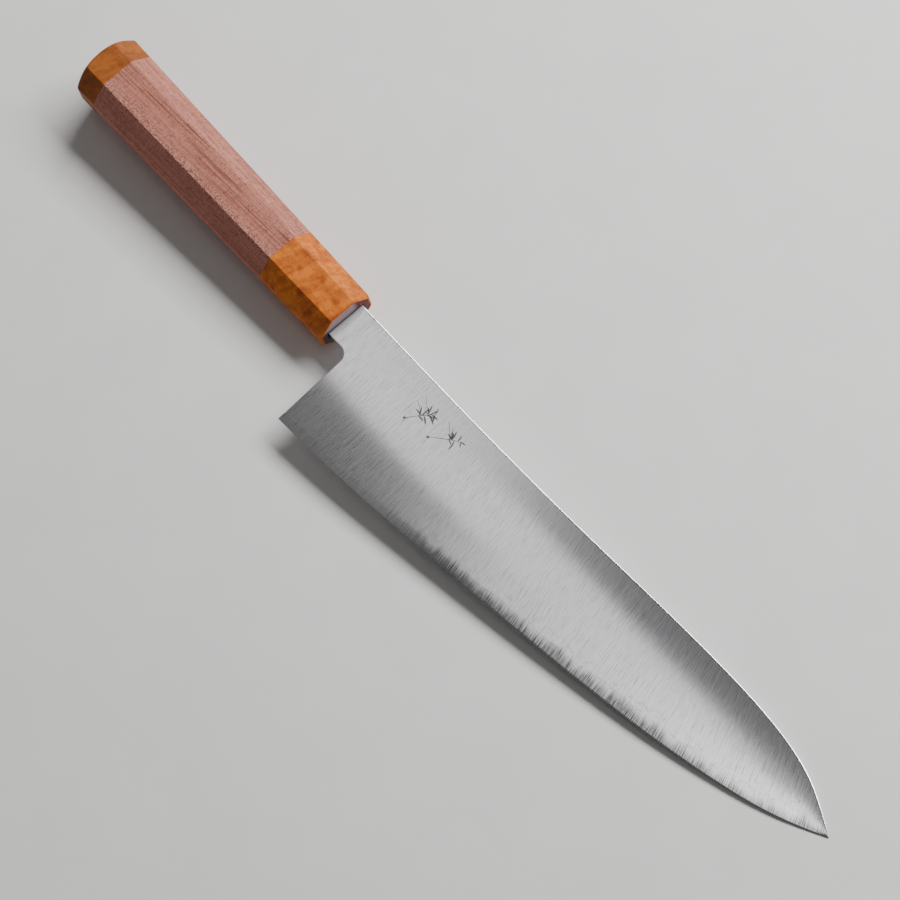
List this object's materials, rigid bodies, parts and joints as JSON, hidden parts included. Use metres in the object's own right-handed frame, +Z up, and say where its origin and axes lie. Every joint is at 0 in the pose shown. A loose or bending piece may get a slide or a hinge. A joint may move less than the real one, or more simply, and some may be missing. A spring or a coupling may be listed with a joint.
{
  "type": "chef knife",
  "caption": "Chef's knife with a curved, layered satin steel blade and a tapered octagonal wooden handle with a ferrule and a domed end cap, lying on its side.",
  "frame": {"origin": "centre of the underside of the knife's bounding box, on the surface that it lies on", "axes": "+X from the butt of the handle to the tip, +Y from the cutting edge to the spine, +Z up through the blade's upper face. The knife lies on the ferrule's front rim and the tip, so its own axis dips 2.13 degrees towards the tip."},
  "size_m": [0.3886, 0.0542, 0.026],
  "materials": {
    "core_steel": "fine ground, darker than the cladding",
    "cladding_steel": "satin, hairlines from spine to edge",
    "amber_wood": "oiled, figured",
    "brown_wood": "oiled, open grain",
    "dowel_wood": "raw",
    "resin": "dark cured resin"
  },
  "bodies": {
    "root": {"core_steel": "core_steel", "cladding_upper": "cladding_steel", "cladding_lower": "cladding_steel", "ferrule": "amber_wood", "handle_body": "brown_wood", "end_cap": "amber_wood", "front_dowel": "dowel_wood", "rear_dowel": "dowel_wood", "tang_adhesive": "resin"}
  },
  "joints": []
}
